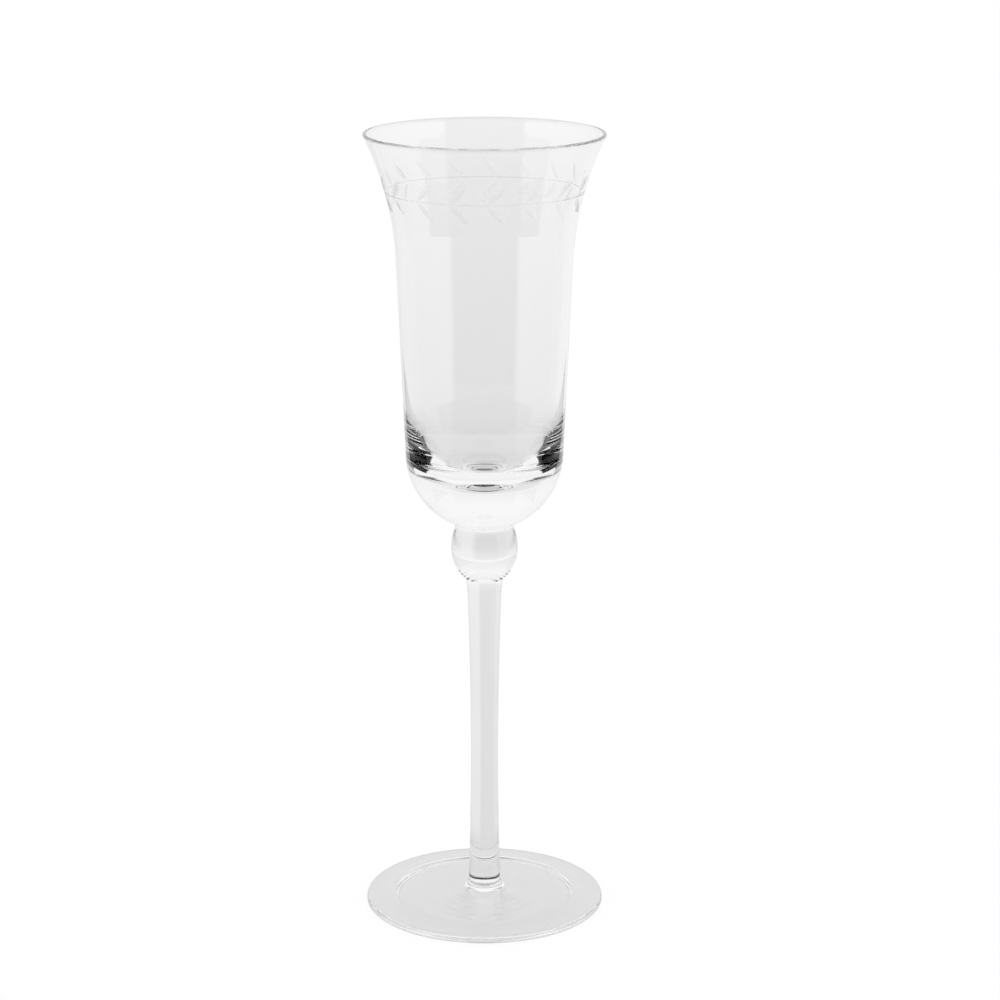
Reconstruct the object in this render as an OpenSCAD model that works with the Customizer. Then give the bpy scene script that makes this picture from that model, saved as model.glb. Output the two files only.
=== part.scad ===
// Champagne glass: a flared bowl, a ball knop, a waisted stem and a round foot,
// four pieces of clear glass fused end to end. Millimetres, +Z up, foot resting on z = 0.

/* [Foot] */
// Diameter of the foot
foot_d = 73.4; // [62:0.2:90]
// Height of the foot's boss, where the stem is joined on
foot_h = 6.4; // [5.6:0.1:9]
// Thickness of the foot at its edge
foot_edge_t = 1.8; // [1.5:0.1:2.4]
// Rise of the foot's upper face towards the stem, in degrees
foot_slope = 5; // [3:0.1:6]
// Rounding of the upper corner of the edge
edge_top_r = 0.8; // [0.4:0.05:1]
// Rounding of the lower corner of the edge
edge_low_r = 0.35; // [0.2:0.05:0.45]
// Width of the flat ring that the foot stands on
rest_w = 9.05; // [3:0.05:12]
// Depth of the hollow under the foot
recess_h = 1.5; // [0.5:0.1:2]
// Width of the slope from the ring up into the hollow
recess_slope_w = 3; // [1.5:0.1:4]
// Share of the hollow's depth that the slope takes up
recess_slope_share = 0.55; // [0.4:0.05:0.6]

/* [Stem] */
// Length of the stem between its two joints
stem_l = 97.8; // [75:0.1:130]
// Diameter of the stem at its narrowest point
stem_d = 8.4; // [7:0.1:10.2]
// Height of the narrowest point above the foot's joint
waist_h = 41.6; // [34:0.1:56]
// Radius of the lengthwise curve of the stem
stem_curve_r = 1370; // [1200:10:2400]
// Length of the stem's upper end that opens out to meet the knop
stem_lip_l = 4.6; // [3:0.1:7]
// How far the upper end opens out beyond the long curve
stem_lip_w = 0.4; // [0.1:0.05:1]

/* [Knop] */
// Largest diameter of the knop
knop_d = 20.2; // [16.8:0.1:25]
// Height of the knop between its two joints
knop_h = 15.8; // [14:0.1:20]
// Height of the widest point above the stem's joint
knop_mid_h = 9.7; // [8:0.1:11.4]
// How far the knop draws in from its widest point to its joint with the bowl
knop_top_in = 1.18; // [0.6:0.02:3]

/* [Bowl] */
// Height of the bowl from its joint with the knop to the rim
bowl_h = 120; // [98:0.5:150]
// Diameter of the bowl over the rim
rim_d = 71.5; // [64:0.5:88]
// Diameter of the bowl where the flare begins
body_d = 52.5; // [46:0.5:60]
// Slope of the bowl's side below the flare, in degrees
body_taper = 2.46; // [1:0.02:4]
// Height of the flared part under the rim
flare_h = 38; // [30:0.5:48]
// Thickness of the wall and of the round lip
wall = 1.2; // [1:0.05:2]
// Thickness of the solid glass under the cavity
floor_t = 15; // [8:0.1:24]
// Height over which the cavity narrows from the thin wall down to its floor
well_h = 24; // [16:0.5:40]
// Fullness of that narrowing: 2 is a plain oval, and more makes the floor flatter
well_full = 3; // [2:0.1:5]
// Bend of that narrowing: 2 is a plain oval, and more keeps the wall thin further down
well_bend = 2.2; // [2:0.1:3]

/* [Cut band] */
// Distance of the cut ring below the rim
ring_drop = 17; // [13.5:0.5:20]
// Width of the cut ring
ring_w = 0.3; // [0.2:0.05:0.8]
// Depth of the cut ring
ring_depth = 0.05; // [0.04:0.01:0.2]
// Number of pairs of leaves round the bowl
leaf_pairs = 17; // [9:1:20]
// Length of a leaf
leaf_len = 7; // [5:0.1:8]
// Width of a leaf at its middle
leaf_w = 2; // [1.2:0.1:2.4]
// Depth of a leaf at its middle
leaf_depth = 0.15; // [0.12:0.01:0.45]
// Lean of the leaves from the upright, in degrees
leaf_lean = 45; // [30:1:52]
// Gap between the ring and the leaves
leaf_gap = 0.5; // [0.3:0.1:1]
// Turn of the first pair of leaves, in degrees
leaf_turn = -14.5; // [-20:0.5:20]

/* [Hidden] */
$fn = 128;
// Points along an arc about c, from angle a to angle b in n steps
function arc(c, r, a, b, n) = [for (i = [0 : n]) let (t = a + (b - a) * i / n) c + r * [cos(t), sin(t)]];
// Direction of a vector, in degrees
function angle(v) = atan2(v.y, v.x);
// Centre of the circle that leaves p at right angles to n and passes through q
function tangent_c(p, n, q) = p + (q - p) * (q - p) / (2 * ((q - p) * n)) * n;

// Heights of the three joints and of the rim
z_stem = foot_h;
z_knop = z_stem + stem_l;
z_bowl = z_knop + knop_h;
z_rim = z_bowl + bowl_h;

// Stem: one long curve, then a short arc that opens out to the knop
waist_c = [stem_d / 2 + stem_curve_r, z_stem + waist_h];
// The stem's radius where it meets the knop
stem_top_turn = asin((stem_l - waist_h) / stem_curve_r);
stem_joint = [waist_c.x - stem_curve_r * cos(stem_top_turn) + stem_lip_w, z_knop];
lip_turn = asin((stem_l - stem_lip_l - waist_h) / stem_curve_r);
lip_n = [cos(lip_turn), -sin(lip_turn)];
lip_p = waist_c - stem_curve_r * lip_n;
lip_c = tangent_c(lip_p, lip_n, stem_joint);
stem_foot_turn = asin(waist_h / stem_curve_r);
// The stem's radius where it meets the foot
stem_foot_r = waist_c.x - stem_curve_r * cos(stem_foot_turn);

// Foot: the upper face is a cone that leaves the rounded edge smoothly
edge_top_c = [foot_d / 2 - edge_top_r, foot_edge_t - edge_top_r];
edge_low_c = [foot_d / 2 - edge_low_r, edge_low_r];
cone_start = edge_top_c + edge_top_r * [sin(foot_slope), cos(foot_slope)];
// Fillet from the cone up to the stem, upright where the two are joined
boss_rise = z_stem - cone_start.y - (cone_start.x - stem_foot_r) * tan(foot_slope);
boss_r = boss_rise * cos(foot_slope) / (1 - sin(foot_slope));
// Hollow of the underside: a shallow dome, then a slope that leaves it smoothly and ends at the ring
recess_rim = [foot_d / 2 - edge_low_r - rest_w, 0];
dome_p = [recess_rim.x - recess_slope_w, recess_slope_share * recess_h];
dome_drop = recess_h - dome_p.y;
dome_r = (pow(dome_p.x, 2) + pow(dome_drop, 2)) / (2 * dome_drop);
dome_turn = asin(dome_p.x / dome_r);
slope_c = tangent_c(dome_p, [sin(dome_turn), cos(dome_turn)], recess_rim);

// Knop: a lower and an upper arc that share the widest point
knop_mid = [knop_d / 2, z_knop + knop_mid_h];
knop_low_c = tangent_c(knop_mid, [-1, 0], stem_joint);
// The knop's radius where it meets the bowl
bowl_joint = [knop_mid.x - knop_top_in, z_bowl];
knop_up_c = tangent_c(knop_mid, [-1, 0], bowl_joint);

// Bowl: round bottom, tapered side, arc of the flare, round lip
z_flare = z_rim - flare_h;
side_n = [cos(body_taper), -sin(body_taper)];
// Radius of the outer side at height z
function side_r(z) = body_d / 2 + (z - z_flare) * tan(body_taper);
// Ball of the round bottom, which stands on the joint and meets the side
ball_r = side_r(z_bowl) * cos(body_taper) / (1 - sin(body_taper));
ball_c = [0, z_bowl + ball_r];
// Fillet between the joint and the round bottom
neck_r = pow(bowl_joint.x, 2) / (2 * (ball_r - bowl_joint.x));
neck_c = bowl_joint + [neck_r, 0];
neck_turn = angle(ball_c - neck_c);
// Top of the cavity's narrowing, and a point on it: t is 0 at the thin wall and 90 at the floor
z_well = z_bowl + floor_t + well_h;
well_steps = 24;
function well(t) = let (z = z_well - well_h * sin(t))
    [(side_r(z) - wall / cos(body_taper)) * pow(1 - pow(sin(t), well_bend), 1 / well_full), z];
// Middle of the wall along the flare, from the side to the centre of the round lip
rim_c = [rim_d / 2 - wall / 2, z_rim - wall / 2];
flare_p = [body_d / 2, z_flare] - wall / 2 * side_n;
flare_c = tangent_c(flare_p, side_n, rim_c);
flare_out_r = norm(flare_p - flare_c) - wall / 2;
flare_in_r = flare_out_r + wall;
flare_turn = angle(rim_c - flare_c);
function flare_out(z) = flare_c.x - sqrt(pow(flare_out_r, 2) - pow(z - flare_c.y, 2));

// Cut band
z_ring = z_rim - ring_drop;
// Round edge of the wheel that cuts the ring
ring_tool_r = (pow(ring_w / 2, 2) + pow(ring_depth, 2)) / (2 * ring_depth);
leaf_rise = leaf_len / 2 * cos(leaf_lean) + leaf_gap;
// Bend of the bowl along a leaf, and the wheel that cuts a leaf of the given length there
leaf_bend = pow(sin(leaf_lean), 2) / flare_out(z_ring) - pow(cos(leaf_lean), 2) / flare_out_r;
wheel_r = 1 / (8 * leaf_depth / pow(leaf_len, 2) - leaf_bend);
// Depth of the wheel's bevelled edge, and half of the wheel's thickness
bevel = 1;
wheel_t = bevel * leaf_w / 2 / leaf_depth;

module foot() {
    color("white") rotate_extrude() polygon(concat(
        arc([0, recess_h - dome_r], dome_r, 90, 90 - dome_turn, 10),
        arc(slope_c, norm(dome_p - slope_c), 90 - dome_turn, angle(recess_rim - slope_c), 6),
        arc(edge_low_c, edge_low_r, -90, 0, 4),
        arc(edge_top_c, edge_top_r, 0, 90 - foot_slope, 6),
        arc([stem_foot_r + boss_r, z_stem], boss_r, 270 - foot_slope, 180, 8),
        [[0, z_stem]]
    ));
}

module stem() {
    color("white") rotate_extrude() polygon(concat(
        [[0, z_stem]],
        arc(waist_c, stem_curve_r, 180 + stem_foot_turn, 180 - lip_turn, 24),
        arc(lip_c, norm(lip_p - lip_c), 180 - lip_turn, angle(stem_joint - lip_c), 6),
        [[0, z_knop]]
    ));
}

module knop() {
    color("white") rotate_extrude() polygon(concat(
        [[0, z_knop]],
        arc(knop_low_c, knop_mid.x - knop_low_c.x, angle(stem_joint - knop_low_c), 0, 14),
        arc(knop_up_c, knop_mid.x - knop_up_c.x, 0, angle(bowl_joint - knop_up_c), 8),
        [[0, z_bowl]]
    ));
}

module bowl_blank() {
    rotate_extrude() polygon(concat(
        [[0, z_bowl]],
        arc(neck_c, neck_r, 180, neck_turn, 5),
        arc(ball_c, ball_r, neck_turn - 180, -body_taper, 18),
        arc(flare_c, flare_out_r, 180 - body_taper, flare_turn, 18),
        arc(rim_c, wall / 2, flare_turn - 180, flare_turn, 10),
        arc(flare_c, flare_in_r, flare_turn, 180 - body_taper, 18),
        [for (i = [0 : well_steps]) well(90 * i / well_steps)]
    ));
}

module ring_tool() {
    rotate_extrude() translate([flare_out(z_ring) + ring_tool_r - ring_depth, z_ring]) circle(ring_tool_r);
}

// Cutting wheel with a blunt edge, whose point at the origin's side makes the deepest part of the cut
module leaf_tool() {
    translate([wheel_r - leaf_depth, 0, 0]) rotate([90, 0, 0]) rotate_extrude() polygon([
        [0, -wheel_t],
        [wheel_r - bevel, -wheel_t],
        [wheel_r, 0],
        [wheel_r - bevel, wheel_t],
        [0, wheel_t]
    ]);
}

// One leaf: up is 1 above the ring and -1 below it
module leaf_cut(turn, up) {
    z = z_ring + up * leaf_rise;
    rotate([0, 0, turn - 90])
        translate([flare_out(z), 0, z])
        rotate([0, asin((z - flare_c.y) / flare_out_r), 0])
        rotate([-up * leaf_lean, 0, 0])
        leaf_tool();
}

module bowl() {
    color("white") difference() {
        bowl_blank();
        ring_tool();
        for (i = [0 : leaf_pairs - 1]) {
            leaf_cut(leaf_turn + i * 360 / leaf_pairs, 1);
            leaf_cut(leaf_turn + i * 360 / leaf_pairs, -1);
        }
    }
}

foot();
stem();
knop();
bowl();
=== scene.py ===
import math

import bmesh
import bpy
from mathutils import Matrix, Vector


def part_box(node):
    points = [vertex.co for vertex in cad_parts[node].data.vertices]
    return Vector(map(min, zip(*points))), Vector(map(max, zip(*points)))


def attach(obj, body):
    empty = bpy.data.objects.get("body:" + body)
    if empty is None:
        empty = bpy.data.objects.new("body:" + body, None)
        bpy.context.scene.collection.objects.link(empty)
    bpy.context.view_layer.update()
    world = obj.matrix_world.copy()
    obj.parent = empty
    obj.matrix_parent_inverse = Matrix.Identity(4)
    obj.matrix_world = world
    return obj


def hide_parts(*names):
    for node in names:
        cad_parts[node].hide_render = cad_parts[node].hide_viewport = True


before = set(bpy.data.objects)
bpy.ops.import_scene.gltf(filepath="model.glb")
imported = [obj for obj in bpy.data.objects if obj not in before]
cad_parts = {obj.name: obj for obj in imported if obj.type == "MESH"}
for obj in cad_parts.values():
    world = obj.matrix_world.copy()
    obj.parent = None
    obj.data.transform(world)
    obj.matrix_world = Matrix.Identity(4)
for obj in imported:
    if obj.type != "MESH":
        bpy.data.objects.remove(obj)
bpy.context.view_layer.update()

# Camera
# A long lens a little under a metre away, a hand above the rim and looking slightly down.
MM = 0.001
CAMERA_PLACE = Vector((0, -843.4, 353.1)) * MM
CAMERA_DIP = math.radians(14.9)
CAMERA_LENS = 103.92
CAMERA_SENSOR = 36
CAMERA_SHIFT = 0.0155

camera = bpy.data.objects.new("camera", bpy.data.cameras.new("camera"))
camera.location = CAMERA_PLACE
camera.rotation_euler = (math.pi / 2 - CAMERA_DIP, 0, 0)
camera.data.lens = CAMERA_LENS
camera.data.sensor_width = CAMERA_SENSOR
camera.data.shift_x = CAMERA_SHIFT
bpy.context.scene.collection.objects.link(camera)
bpy.context.scene.camera = camera


# Foot
# A round plate of clear soda-lime glass, pressed and fire polished. Its upper face rises in a shallow
# cone to a boss, where the stem is fused on hot, and its underside is hollowed so that it stands on a ring.
foot_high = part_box("foot")[1]
FOOT_R = foot_high.x
FOOT_TOP = foot_high.z
FOOT_EDGE_T = 1.8 * MM
FOOT_SLOPE = math.radians(5)
EDGE_TOP_R = 0.8 * MM
EDGE_LOW_R = 0.35 * MM
REST_RING_W = 9.05 * MM
HOLLOW_H = 1.5 * MM
HOLLOW_SLOPE_W = 3 * MM
HOLLOW_SLOPE_H = 0.55 * HOLLOW_H
STEM_R = 4.2 * MM
STEM_CURVE_R = 1370 * MM
WAIST_Z = FOOT_TOP + 41.6 * MM
TURNED_STEPS = 256
TOUCHING = 0.001 * MM
LEVEL = 0.9999
SHARP_ANGLE = math.radians(30)


def arc(centre, radius, start, end, steps):
    """Points (r, z) of a round stretch of an outline, from the start angle to the end angle."""
    turns = [start + (end - start) * i / steps for i in range(steps + 1)]
    return [(centre[0] + radius * math.cos(t), centre[1] + radius * math.sin(t)) for t in turns]


def tangent_centre(point, normal, through):
    """Centre of the circle that leaves a point at right angles to a normal and passes through another."""
    step = through - point
    return point + normal * (step.dot(step) / (2 * step.dot(normal)))


def turned(name, outline, joints):
    """A solid of revolution. Its flat faces at the joints' heights take the second material."""
    bm = bmesh.new()
    points = [bm.verts.new((max(r, 0), 0, z)) for r, z in outline]
    edges = [bm.edges.new(pair) for pair in zip(points, points[1:])]
    bmesh.ops.spin(bm, geom=points + edges, cent=(0, 0, 0), axis=(0, 0, 1), angle=2 * math.pi,
                   steps=TURNED_STEPS, use_merge=True)
    bmesh.ops.remove_doubles(bm, verts=bm.verts, dist=TOUCHING)
    bmesh.ops.recalc_face_normals(bm, faces=bm.faces)
    for face in bm.faces:
        face.smooth = True
        height = face.calc_center_median().z
        if abs(face.normal.z) > LEVEL and any(abs(height - z) < TOUCHING for z in joints):
            face.material_index = 1
    mesh = bpy.data.meshes.new(name)
    bm.to_mesh(mesh)
    bm.free()
    mesh.set_sharp_from_angle(angle=SHARP_ANGLE)
    piece = bpy.data.objects.new(name, mesh)
    bpy.context.scene.collection.objects.link(piece)
    return piece


def noise(tree, scale, detail):
    """Noise over the piece, with the given number of features to the metre."""
    place = tree.nodes.new("ShaderNodeTexCoord")
    node = tree.nodes.new("ShaderNodeTexNoise")
    node.inputs["Scale"].default_value = scale
    node.inputs["Detail"].default_value = detail
    tree.links.new(place.outputs["Object"], node.inputs["Vector"])
    return node.outputs["Fac"]


def fade(tree, value, start, end, first, last, change="SMOOTHSTEP"):
    """A change from the first level to the last, as a value goes from start to end."""
    node = tree.nodes.new("ShaderNodeMapRange")
    node.interpolation_type = change
    for name, number in zip(("From Min", "From Max", "To Min", "To Max"), (start, end, first, last)):
        if isinstance(number, (int, float)):
            node.inputs[name].default_value = number
        else:
            tree.links.new(number, node.inputs[name])
    tree.links.new(value, node.inputs["Value"])
    return node.outputs["Result"]


GLASS_IOR = 1.5
FILM_SCALE = 70
FILM_DETAIL = 3


def glass(name, smooth, matt, bump_scale, bump_height):
    """Colourless glass. Its roughness goes in patches from smooth to matt, and its skin has a fine bump."""
    material = bpy.data.materials.new(name)
    material.use_nodes = True
    tree = material.node_tree
    shader = tree.nodes["Principled BSDF"]
    shader.inputs["Base Color"].default_value = (1, 1, 1, 1)
    shader.inputs["IOR"].default_value = GLASS_IOR
    shader.inputs["Transmission Weight"].default_value = 1
    film = fade(tree, noise(tree, FILM_SCALE, FILM_DETAIL), 0.4, 0.7, smooth, matt)
    tree.links.new(film, shader.inputs["Roughness"])
    bump = tree.nodes.new("ShaderNodeBump")
    bump.inputs["Strength"].default_value = 1
    bump.inputs["Distance"].default_value = bump_height
    tree.links.new(noise(tree, bump_scale, 1), bump.inputs["Height"])
    tree.links.new(bump.outputs["Normal"], shader.inputs["Normal"])
    return material


def fused_joint():
    """Where two gathers of glass are one: there is no surface left to see."""
    material = bpy.data.materials.new("fused_joint")
    material.use_nodes = True
    nodes = material.node_tree.nodes
    nodes.clear()
    clear = nodes.new("ShaderNodeBsdfTransparent")
    output = nodes.new("ShaderNodeOutputMaterial")
    material.node_tree.links.new(clear.outputs[0], output.inputs["Surface"])
    return material


GLASS = glass("clear_glass", 0, 0.012, 40, 0.03 * MM)
JOINT = fused_joint()


def stem_curve_r(z):
    """Radius of the stem's long curve at a height."""
    return STEM_R + STEM_CURVE_R - math.sqrt(STEM_CURVE_R**2 - (z - WAIST_Z)**2)


edge_top = (FOOT_R - EDGE_TOP_R, FOOT_EDGE_T - EDGE_TOP_R)
edge_low = (FOOT_R - EDGE_LOW_R, EDGE_LOW_R)
cone_start_r = edge_top[0] + EDGE_TOP_R * math.sin(FOOT_SLOPE)
cone_start_z = edge_top[1] + EDGE_TOP_R * math.cos(FOOT_SLOPE)
boss_r = stem_curve_r(FOOT_TOP)
boss_rise = FOOT_TOP - cone_start_z - (cone_start_r - boss_r) * math.tan(FOOT_SLOPE)
boss_fillet = boss_rise * math.cos(FOOT_SLOPE) / (1 - math.sin(FOOT_SLOPE))
hollow_rim = Vector((FOOT_R - EDGE_LOW_R - REST_RING_W, 0))
dome_end = Vector((hollow_rim.x - HOLLOW_SLOPE_W, HOLLOW_SLOPE_H))
dome_drop = HOLLOW_H - HOLLOW_SLOPE_H
dome_r = (dome_end.x**2 + dome_drop**2) / (2 * dome_drop)
dome_turn = math.asin(dome_end.x / dome_r)
slope_centre = tangent_centre(dome_end, Vector((math.sin(dome_turn), math.cos(dome_turn))), hollow_rim)
slope_end = hollow_rim - slope_centre
quarter_turn = math.pi / 2

foot = turned(
    "foot",
    arc((0, HOLLOW_H - dome_r), dome_r, quarter_turn, quarter_turn - dome_turn, 32)
    + arc(slope_centre, slope_end.length, quarter_turn - dome_turn, math.atan2(slope_end.y, slope_end.x), 20)
    + arc(edge_low, EDGE_LOW_R, -quarter_turn, 0, 8)
    + arc(edge_top, EDGE_TOP_R, 0, quarter_turn - FOOT_SLOPE, 14)
    + arc((boss_r + boss_fillet, FOOT_TOP), boss_fillet, 3 * quarter_turn - FOOT_SLOPE, 2 * quarter_turn, 24)
    + [(0, FOOT_TOP)],
    [FOOT_TOP],
)
foot.data.materials.append(GLASS)
foot.data.materials.append(JOINT)
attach(foot, "root")
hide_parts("foot")


# Stem
# A solid rod drawn out of the same clear glass while hot, so it has one long even waist.
# Its upper end opens out a little where it is fused to the knop.
STEM_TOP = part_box("stem")[1].z
LIP_L = 4.6 * MM
LIP_W = 0.4 * MM

stem_top_r = stem_curve_r(STEM_TOP) + LIP_W
stem_end = Vector((stem_top_r, STEM_TOP))
curve_centre = Vector((STEM_R + STEM_CURVE_R, WAIST_Z))
low_turn = math.asin((WAIST_Z - FOOT_TOP) / STEM_CURVE_R)
lip_turn = math.asin((STEM_TOP - LIP_L - WAIST_Z) / STEM_CURVE_R)
lip_normal = Vector((math.cos(lip_turn), -math.sin(lip_turn)))
lip_start = curve_centre - STEM_CURVE_R * lip_normal
lip_centre = tangent_centre(lip_start, lip_normal, stem_end)
lip_end = stem_end - lip_centre

stem = turned(
    "stem",
    [(0, FOOT_TOP)]
    + arc(curve_centre, STEM_CURVE_R, math.pi + low_turn, math.pi - lip_turn, 60)
    + arc(lip_centre, lip_end.length, math.pi - lip_turn, math.atan2(lip_end.y, lip_end.x), 16)
    + [(0, STEM_TOP)],
    [FOOT_TOP, STEM_TOP],
)
stem.data.materials.append(GLASS)
stem.data.materials.append(JOINT)
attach(stem, "root")
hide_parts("stem")


# Knop
# A solid ball of clear glass between the stem and the bowl, shaped by hand on the rod.
# It draws in at a crease below the bowl and at another above the stem.
knop_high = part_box("knop")[1]
KNOP_R = knop_high.x
KNOP_TOP = knop_high.z
KNOP_MID_H = 9.7 * MM
KNOP_TOP_IN = 1.18 * MM

knop_mid = Vector((KNOP_R, STEM_TOP + KNOP_MID_H))
knop_end = Vector((KNOP_R - KNOP_TOP_IN, KNOP_TOP))
inwards = Vector((-1, 0))
knop_low_centre = tangent_centre(knop_mid, inwards, stem_end)
knop_up_centre = tangent_centre(knop_mid, inwards, knop_end)
knop_start_turn = math.atan2(stem_end.y - knop_low_centre.y, stem_end.x - knop_low_centre.x)
knop_end_turn = math.atan2(knop_end.y - knop_up_centre.y, knop_end.x - knop_up_centre.x)

knop = turned(
    "knop",
    [(0, STEM_TOP)]
    + arc(knop_low_centre, KNOP_R - knop_low_centre.x, knop_start_turn, 0, 48)
    + arc(knop_up_centre, KNOP_R - knop_up_centre.x, 0, knop_end_turn, 28)
    + [(0, KNOP_TOP)],
    [STEM_TOP, KNOP_TOP],
)
knop.data.materials.append(GLASS)
knop.data.materials.append(JOINT)
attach(knop, "root")
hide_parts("knop")


# Bowl
# Blown from one gather of clear glass: a thick round bottom, a thin tapered side and a flared mouth with a
# fire-polished lip. A fine ring and a band of leaves are cut into the flare with a wheel and left matt.
bowl_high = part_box("bowl")[1]
RIM_R = bowl_high.x
RIM_Z = bowl_high.z
BODY_R = 26.25 * MM
BODY_TAPER = math.radians(2.46)
FLARE_H = 38 * MM
WALL = 1.2 * MM
FLOOR_T = 15 * MM
WELL_H = 24 * MM
WELL_FULL = 3
WELL_BEND = 2.2
WELL_STEPS = 72
RING_DROP = 17 * MM
RING_W = 0.3 * MM
RING_DEPTH = 0.05 * MM
RING_SKIN = 0.01 * MM

flare_z = RIM_Z - FLARE_H
side_normal = Vector((math.cos(BODY_TAPER), -math.sin(BODY_TAPER)))


def side_r(z):
    """Radius of the bowl's outer side at a height below the flare."""
    return BODY_R + (z - flare_z) * math.tan(BODY_TAPER)


ball_r = side_r(KNOP_TOP) * math.cos(BODY_TAPER) / (1 - math.sin(BODY_TAPER))
ball_centre = Vector((0, KNOP_TOP + ball_r))
neck_r = knop_end.x**2 / (2 * (ball_r - knop_end.x))
neck_centre = Vector((knop_end.x + neck_r, KNOP_TOP))
neck_turn = math.atan2(ball_centre.y - neck_centre.y, ball_centre.x - neck_centre.x)
lip_middle = Vector((RIM_R - WALL / 2, RIM_Z - WALL / 2))
flare_start = Vector((BODY_R, flare_z)) - side_normal * WALL / 2
flare_centre = tangent_centre(flare_start, side_normal, lip_middle)
flare_out_r = (flare_start - flare_centre).length - WALL / 2
flare_in_r = flare_out_r + WALL
rim_turn = math.atan2(lip_middle.y - flare_centre.y, lip_middle.x - flare_centre.x)
well_top = KNOP_TOP + FLOOR_T + WELL_H


def flare_out(z):
    """Radius of the flare's outer face at a height."""
    return flare_centre.x - math.sqrt(flare_out_r**2 - (z - flare_centre.y)**2)


def well(t):
    """Point of the cavity's lower part: t is 0 at the thin wall and a quarter turn at the floor."""
    z = well_top - WELL_H * math.sin(t)
    width = (1 - math.sin(t)**WELL_BEND)**(1 / WELL_FULL)
    return (side_r(z) - WALL / math.cos(BODY_TAPER)) * width, z


ring_z = RIM_Z - RING_DROP
ring_tool_r = ((RING_W / 2)**2 + RING_DEPTH**2) / (2 * RING_DEPTH)
ring_centre = Vector((flare_out(ring_z) + ring_tool_r - RING_DEPTH, ring_z))
ring_low = Vector((flare_out(ring_z - RING_W / 2), ring_z - RING_W / 2))
ring_high = Vector((flare_out(ring_z + RING_W / 2), ring_z + RING_W / 2))


def turn_about(centre, point):
    """Angle of a point about a centre, from 0 to a full turn."""
    return math.atan2(point.y - centre.y, point.x - centre.x) % (2 * math.pi)


bowl = turned(
    "bowl",
    [(0, KNOP_TOP)]
    + arc(neck_centre, neck_r, math.pi, neck_turn, 16)
    + arc(ball_centre, ball_r, neck_turn - math.pi, -BODY_TAPER, 64)
    + arc(flare_centre, flare_out_r, math.pi - BODY_TAPER, turn_about(flare_centre, ring_low), 24)
    + arc(ring_centre, ring_tool_r, turn_about(ring_centre, ring_low), turn_about(ring_centre, ring_high), 6)
    + arc(flare_centre, flare_out_r, turn_about(flare_centre, ring_high), rim_turn, 16)
    + arc(lip_middle, WALL / 2, rim_turn - math.pi, rim_turn, 20)
    + arc(flare_centre, flare_in_r, rim_turn, math.pi - BODY_TAPER, 40)
    + [well(quarter_turn * i / WELL_STEPS) for i in range(WELL_STEPS + 1)],
    [KNOP_TOP],
)
CUT_GLASS = glass("cut_glass", 0.25, 0.4, 2500, 0.01 * MM)
for material in (GLASS, JOINT, CUT_GLASS):
    bowl.data.materials.append(material)

LEAF_PAIRS = 17
LEAF_LEN = 7 * MM
LEAF_W = 2 * MM
LEAF_DEPTH = 0.15 * MM
LEAF_LEAN = math.radians(45)
LEAF_GAP = 0.5 * MM
LEAF_TURN = math.radians(-14.5)
LEAF_STEPS = 24
CUT_CLEAR = 0.1 * MM

leaf_rise = LEAF_LEN / 2 * math.cos(LEAF_LEAN) + LEAF_GAP
leaf_bend = math.sin(LEAF_LEAN)**2 / flare_out(ring_z) - math.cos(LEAF_LEAN)**2 / flare_out_r
wheel_r = 1 / (8 * LEAF_DEPTH / LEAF_LEN**2 - leaf_bend)
leaf_slope = LEAF_W / 2 / LEAF_DEPTH
leaf_end = LEAF_LEN / 2 * math.sqrt(1 + CUT_CLEAR / LEAF_DEPTH)


def leaf_section(along):
    """Keel and edges of what the wheel takes out, at a distance along the leaf from its middle."""
    keel = wheel_r - LEAF_DEPTH - math.sqrt(wheel_r**2 - along**2)
    top = CUT_CLEAR - leaf_bend * along**2 / 2
    half = (top - keel) * leaf_slope
    return [(keel, 0, along), (top, half, along), (top, -half, along)]


def add_leaf(bm, turn, up):
    """One leaf's cut, above the ring (up is 1) or below it (up is -1)."""
    z = ring_z + up * leaf_rise
    tilt = math.asin((z - flare_centre.y) / flare_out_r)
    place = (Matrix.Rotation(turn - quarter_turn, 4, "Z") @ Matrix.Translation((flare_out(z), 0, z))
             @ Matrix.Rotation(tilt, 4, "Y") @ Matrix.Rotation(-up * LEAF_LEAN, 4, "X"))
    first, last = (bm.verts.new(place @ Vector(leaf_section(end)[0])) for end in (-leaf_end, leaf_end))
    between = [leaf_end * (2 * i / LEAF_STEPS - 1) for i in range(1, LEAF_STEPS)]
    sections = [[bm.verts.new(place @ Vector(p)) for p in leaf_section(along)] for along in between]
    for i in range(3):
        j = (i + 1) % 3
        bm.faces.new((first, sections[0][i], sections[0][j]))
        for low, high in zip(sections, sections[1:]):
            bm.faces.new((low[i], high[i], high[j], low[j]))
        bm.faces.new((sections[-1][i], last, sections[-1][j]))


bm = bmesh.new()
for i in range(LEAF_PAIRS):
    for up in (1, -1):
        add_leaf(bm, LEAF_TURN + i * 2 * math.pi / LEAF_PAIRS, up)
bmesh.ops.recalc_face_normals(bm, faces=bm.faces)
for face in bm.faces:
    face.material_index = 2
leaves_mesh = bpy.data.meshes.new("leaf_cuts")
bm.to_mesh(leaves_mesh)
bm.free()
for material in (GLASS, JOINT, CUT_GLASS):
    leaves_mesh.materials.append(material)
leaves = bpy.data.objects.new("leaf_cuts", leaves_mesh)
bpy.context.scene.collection.objects.link(leaves)
cut = bowl.modifiers.new("leaves", "BOOLEAN")
cut.operation = "DIFFERENCE"
cut.solver = "MANIFOLD"
cut.object = leaves
cut_mesh = bpy.data.meshes.new_from_object(bowl.evaluated_get(bpy.context.evaluated_depsgraph_get()))
bowl.modifiers.clear()
bowl.data = cut_mesh
bpy.data.objects.remove(leaves)

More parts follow.
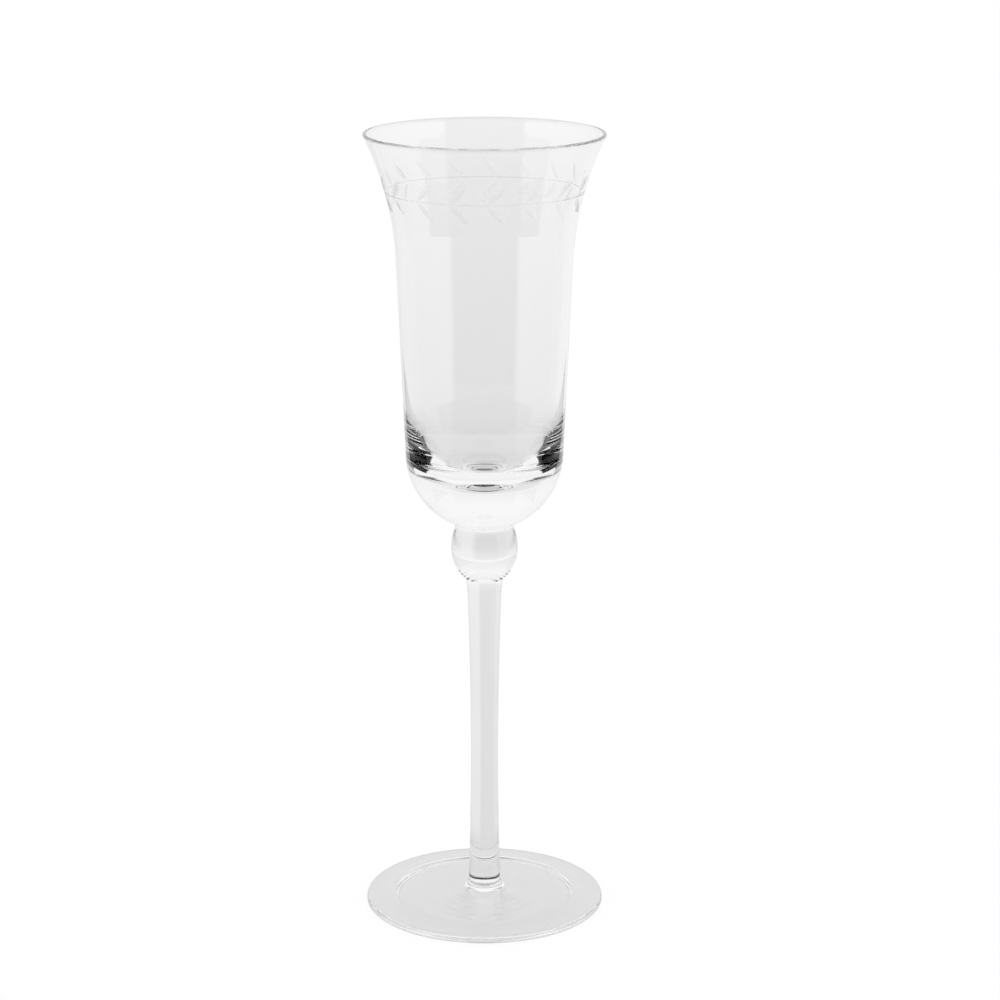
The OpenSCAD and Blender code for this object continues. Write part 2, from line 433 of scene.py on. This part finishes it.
bm = bmesh.new()
bm.from_mesh(cut_mesh)
for face in bm.faces:
    face.smooth = True
    middle = face.calc_center_median()
    if abs(middle.z - ring_z) < RING_W / 2 and middle.xy.length < flare_out(middle.z) - RING_SKIN:
        face.material_index = 2
for edge in bm.edges:
    if len({face.material_index for face in edge.link_faces}) > 1:
        edge.smooth = False
bm.to_mesh(cut_mesh)
bm.free()

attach(bowl, "root")
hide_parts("bowl")


# Studio
# A plain white table that runs out of sight, in a white room. The camera's side of both is dark, which
# only reflections in the glass show, such as those in the thick bottom of the bowl. On the table that dark
# side is a painted reflection, as are two black cards beside the bowl, and the table's glow in the glass
# holds painted shade and light.
TABLE_GAP = 0.05 * MM
TABLE_REACH = 6
TABLE_DIFFUSE = 0.1
TABLE_WHITE = 0.905
# Painted shade: in the glass the table's glow is greyer near the glass and under it, and brighter further
# out.
TABLE_PAINTED_SHADE_UNDER = 0.62
TABLE_PAINTED_SHADE_NEAR = 0.72
NEAR_END = 0.6
FAR_START = 2.3

table_mesh = bpy.data.meshes.new("table")
table_mesh.from_pydata(
    [(x * TABLE_REACH, y * TABLE_REACH, -TABLE_GAP) for x, y in ((-1, -1), (1, -1), (1, 1), (-1, 1))],
    [], [(0, 1, 2, 3)])
table = bpy.data.objects.new("table", table_mesh)
bpy.context.scene.collection.objects.link(table)


def calculate(tree, operation, first, second=0):
    """A Math node of one or two values, each a number or a socket."""
    node = tree.nodes.new("ShaderNodeMath")
    node.operation = operation
    for socket, value in zip(node.inputs, (first, second)):
        if isinstance(value, (int, float)):
            socket.default_value = value
        else:
            tree.links.new(value, socket)
    return node.outputs[0]


# Painted reflection: in the glass's reflections the table is darker on the camera's side, and dark beyond
# its front.
PAINTED_FRONT_REFLECTION = 0.4
FRONT_EDGE = 0.69
# Painted shade: reflections show the table dark under the foot, where they meet it steeply.
FOOT_SHADE = 0.02
# Painted shade: the table seen steeply from above shows darker in the glass.
NEAR_SHADE = 0.85
# Painted light: in the glass the table shows brighter towards its right and left sides.
RIGHT_PAINTED_LIGHT = 1.13
LEFT_PAINTED_LIGHT = 1.08
# Pairs say where a change starts and ends: metres from the glass, or shares of the way there.
PAINTED_LIGHT_FROM = (0.04, 0.06)
RIGHT_EDGE = (0.15, 0.25)
LEFT_EDGE = (-0.6, -0.45)
FRONT_FROM = (0.15, 0.25)
FRONT_TO = (0.75, 0.85)
FRONT_SOFT = 0.02
STEEP = (0.6, 0.85)
FOOT_SHADE_R = (0.015, 0.02)
FOOT_SHADE_STEEP = (0.3, 0.5)
ROOM_DARK = 0.0
ROOM_LOW = 0.88


def white_table():
    """Paper that is clear from below. To the camera it is white. In the glass its glow holds painted light
    and shade:
    it is greyer near by (painted shade) and brighter at the sides (painted light), and reflections show it
    dark under the foot (painted shade) and on the camera's side (painted reflection)."""
    material = bpy.data.materials.new("white_table")
    material.use_nodes = True
    tree = material.node_tree
    tree.nodes.clear()
    place = tree.nodes.new("ShaderNodeNewGeometry")
    parts = tree.nodes.new("ShaderNodeSeparateXYZ")
    tree.links.new(place.outputs["Position"], parts.inputs[0])
    reach = tree.nodes.new("ShaderNodeVectorMath")
    reach.operation = "LENGTH"
    tree.links.new(place.outputs["Position"], reach.inputs[0])
    distance = reach.outputs["Value"]
    ahead = calculate(tree, "DIVIDE", calculate(tree, "MULTIPLY", parts.outputs["Y"], -1), distance)
    # Painted shade: greyer close to the glass, in what the glass shows.
    near = fade(tree, distance, 0, NEAR_END, TABLE_PAINTED_SHADE_UNDER, TABLE_PAINTED_SHADE_NEAR, "LINEAR")
    sideways = calculate(tree, "DIVIDE", parts.outputs["X"], distance)
    # Painted light: brighter towards the sides, from a few centimetres out.
    painted_left_light = fade(tree, sideways, *LEFT_EDGE, LEFT_PAINTED_LIGHT, 1)
    painted_side_light = fade(tree, sideways, *RIGHT_EDGE, painted_left_light, RIGHT_PAINTED_LIGHT)
    near = fade(tree, distance, *PAINTED_LIGHT_FROM, near, calculate(tree, "MULTIPLY", near, painted_side_light))
    lit = fade(tree, distance, NEAR_END, FAR_START, near, ROOM_LOW, "LINEAR")
    # Painted reflection: the camera's side of the table, darker only where the glass mirrors it.
    front = fade(tree, distance, *FRONT_TO, PAINTED_FRONT_REFLECTION, ROOM_DARK)
    front = fade(tree, distance, *FRONT_FROM, lit, front)
    painted_reflection = fade(tree, ahead, FRONT_EDGE - FRONT_SOFT, FRONT_EDGE + FRONT_SOFT, lit, front)
    rays = tree.nodes.new("ShaderNodeLightPath")
    reflected = calculate(tree, "MINIMUM", rays.outputs["Glossy Depth"], 1)
    shown = fade(tree, reflected, 0, 1, lit, painted_reflection, "LINEAR")
    upright = tree.nodes.new("ShaderNodeSeparateXYZ")
    tree.links.new(place.outputs["Incoming"], upright.inputs[0])
    # Painted shade: darker where the table is seen steeply from above.
    steep = fade(tree, upright.outputs["Z"], *STEEP, 1, NEAR_SHADE)
    shown = calculate(tree, "MULTIPLY", shown, steep)
    # Painted shade under the foot: reflected rays that meet the table steeply just below the glass see it
    # dark.
    shade = fade(tree, distance, *FOOT_SHADE_R, FOOT_SHADE, 1)
    shade = fade(tree, upright.outputs["Z"], *FOOT_SHADE_STEEP, 1, shade)
    shade = fade(tree, reflected, 0, 1, 1, shade, "LINEAR")
    shown = calculate(tree, "MULTIPLY", shown, shade)
    seen = calculate(tree, "MULTIPLY", rays.outputs["Is Camera Ray"], TABLE_WHITE)
    in_glass = calculate(tree, "MULTIPLY", rays.outputs["Is Glossy Ray"], shown)
    glow = tree.nodes.new("ShaderNodeEmission")
    level = calculate(tree, "ADD", seen, in_glass)
    tree.links.new(level, glow.inputs["Strength"])
    paper = tree.nodes.new("ShaderNodeBsdfDiffuse")
    paper.inputs["Color"].default_value = (TABLE_DIFFUSE, TABLE_DIFFUSE, TABLE_DIFFUSE, 1)
    both = tree.nodes.new("ShaderNodeAddShader")
    tree.links.new(glow.outputs[0], both.inputs[0])
    tree.links.new(paper.outputs[0], both.inputs[1])
    clear = tree.nodes.new("ShaderNodeBsdfTransparent")
    one_sided = tree.nodes.new("ShaderNodeMixShader")
    tree.links.new(place.outputs["Backfacing"], one_sided.inputs["Fac"])
    tree.links.new(both.outputs[0], one_sided.inputs[1])
    tree.links.new(clear.outputs[0], one_sided.inputs[2])
    output = tree.nodes.new("ShaderNodeOutputMaterial")
    tree.links.new(one_sided.outputs[0], output.inputs["Surface"])
    return material


table_mesh.materials.append(white_table())

CARD_X = 150 * MM
CARD_Y = (-10 * MM, 220 * MM)
CARD_Z = (86 * MM, 116 * MM)
CARD_GREY = 0.02


def painted_reflection_card():
    """Painted reflection: black paper that only the polished outer faces mirror; it isn't seen through the
    glass or by the camera, and casts no shadow.
    """
    material = bpy.data.materials.new("painted_reflection_card")
    material.use_nodes = True
    tree = material.node_tree
    tree.nodes.clear()
    rays = tree.nodes.new("ShaderNodeLightPath")
    black = tree.nodes.new("ShaderNodeBsdfDiffuse")
    black.inputs["Color"].default_value = (CARD_GREY, CARD_GREY, CARD_GREY, 1)
    clear = tree.nodes.new("ShaderNodeBsdfTransparent")
    mixed = tree.nodes.new("ShaderNodeMixShader")
    tree.links.new(rays.outputs["Is Transmission Ray"], mixed.inputs["Fac"])
    tree.links.new(black.outputs[0], mixed.inputs[1])
    tree.links.new(clear.outputs[0], mixed.inputs[2])
    output = tree.nodes.new("ShaderNodeOutputMaterial")
    tree.links.new(mixed.outputs[0], output.inputs["Surface"])
    return material


PAINTED_REFLECTION_CARD = painted_reflection_card()
# Painted reflection: cards beside the bowl's thick bottom that darken only its reflections.
for side_name, x in (("left", -CARD_X), ("right", CARD_X)):
    card_mesh = bpy.data.meshes.new(f"card_{side_name}")
    corners = [(x, CARD_Y[i], CARD_Z[j]) for i, j in ((0, 0), (1, 0), (1, 1), (0, 1))]
    card_mesh.from_pydata(corners, [], [(0, 1, 2, 3)])
    card_mesh.materials.append(PAINTED_REFLECTION_CARD)
    card = bpy.data.objects.new(f"card_{side_name}", card_mesh)
    card.visible_camera = False
    card.visible_diffuse = False
    card.visible_shadow = False
    bpy.context.scene.collection.objects.link(card)

DEEP_EDGE = 0.18
ROOM_HIGH = 0.96
ROOM_HIGH_FROM = 0.35
DEEP_TOP = (0.45, 0.6)
DARK_TOP = (0.65, 0.85)
ROOM_SOFT = 0.04
GLASS_BOUNCES = 256

world = bpy.data.worlds.new("studio")
world.use_nodes = True
bpy.context.scene.world = world
tree = world.node_tree
tree.nodes.clear()
direction = tree.nodes.new("ShaderNodeTexCoord")
parts = tree.nodes.new("ShaderNodeSeparateXYZ")
tree.links.new(direction.outputs["Generated"], parts.inputs[0])
height_squared = calculate(tree, "MULTIPLY", parts.outputs["Z"], parts.outputs["Z"])
level_way = calculate(tree, "SQRT", calculate(tree, "SUBTRACT", 1, height_squared))
ahead = calculate(tree, "DIVIDE", calculate(tree, "MULTIPLY", parts.outputs["Y"], -1), level_way)
rays = tree.nodes.new("ShaderNodeLightPath")
white = fade(tree, parts.outputs["Z"], 0, ROOM_HIGH_FROM, ROOM_LOW, ROOM_HIGH)
deep_edge = fade(tree, parts.outputs["Z"], *DEEP_TOP, DEEP_EDGE, FRONT_EDGE)
edge = fade(tree, rays.outputs["Is Transmission Ray"], 0, 1, FRONT_EDGE, deep_edge, "LINEAR")
room = fade(tree, calculate(tree, "SUBTRACT", ahead, edge), -ROOM_SOFT, ROOM_SOFT, white, ROOM_DARK)
room = fade(tree, parts.outputs["Z"], *DARK_TOP, room, white)
reflected = calculate(tree, "MINIMUM", rays.outputs["Glossy Depth"], 1)
room = fade(tree, reflected, 0, 1, white, room, "LINEAR")
sky = tree.nodes.new("ShaderNodeBackground")
sky.inputs["Color"].default_value = (1, 1, 1, 1)
level = calculate(tree, "MAXIMUM", rays.outputs["Is Camera Ray"], room)
tree.links.new(level, sky.inputs["Strength"])
output = tree.nodes.new("ShaderNodeOutputWorld")
tree.links.new(sky.outputs[0], output.inputs["Surface"])

scene = bpy.context.scene
scene.view_settings.view_transform = "Standard"
scene.cycles.max_bounces = GLASS_BOUNCES
scene.cycles.transmission_bounces = GLASS_BOUNCES
scene.cycles.glossy_bounces = GLASS_BOUNCES
scene.cycles.transparent_max_bounces = 32
